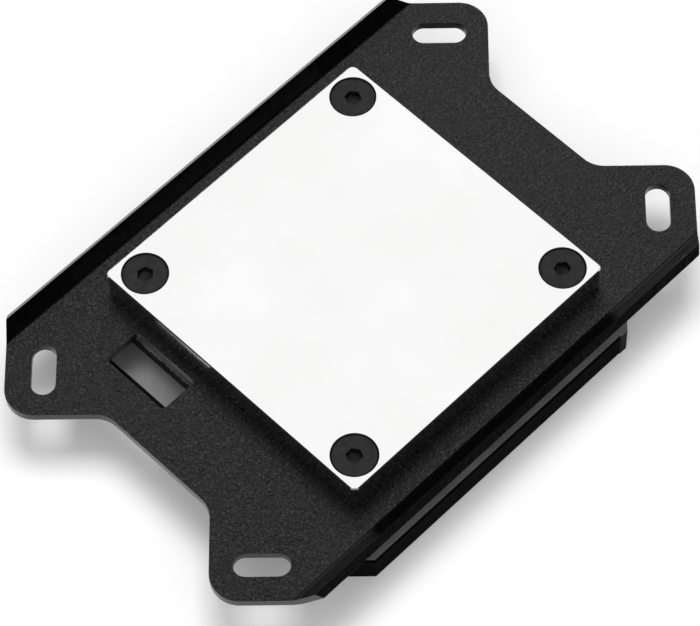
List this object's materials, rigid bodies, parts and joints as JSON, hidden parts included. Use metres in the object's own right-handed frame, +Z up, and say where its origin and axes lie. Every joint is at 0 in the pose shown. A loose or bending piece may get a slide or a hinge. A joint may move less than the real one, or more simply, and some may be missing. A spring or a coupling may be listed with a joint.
{
  "type": "cpu water block",
  "caption": "Processor water block with a polished cold plate, a black folded mounting plate with slotted ears, a machined body with threaded ports and a black sheet cover.",
  "frame": {"origin": "under the middle of the block, on the surface that the cover lies on", "axes": "+X along the long way of the mounting plate, towards the body's uncovered end; +Y across the folded lips; +Z up, from the ports to the cold plate's contact face"},
  "size_m": [0.1098, 0.074, 0.0214],
  "materials": {
    "powder_coat": "fine textured black powder coat on folded steel sheet",
    "nickel": "polished nickel plating on copper",
    "acetal": "machined dark acetal, satin",
    "cover_paint": "black satin coating on folded sheet",
    "black_oxide": "black oxide on steel, slightly oily",
    "seal_rubber": "moulded black rubber",
    "insert_plastic": "moulded off-white plastic",
    "jet_steel": "thin stainless sheet, as rolled"
  },
  "bodies": {
    "root": {"mounting_plate": "powder_coat", "cold_plate": "nickel", "body": "acetal", "cover": "cover_paint", "corner_screw_1": "black_oxide", "corner_screw_2": "black_oxide", "corner_screw_3": "black_oxide", "corner_screw_4": "black_oxide", "cover_screw_1": "black_oxide", "cover_screw_2": "black_oxide", "cover_screw_3": "black_oxide", "cover_screw_4": "black_oxide", "seal_ring": "seal_rubber", "jet_insert": "insert_plastic", "jet_plate": "jet_steel"}
  },
  "joints": []
}
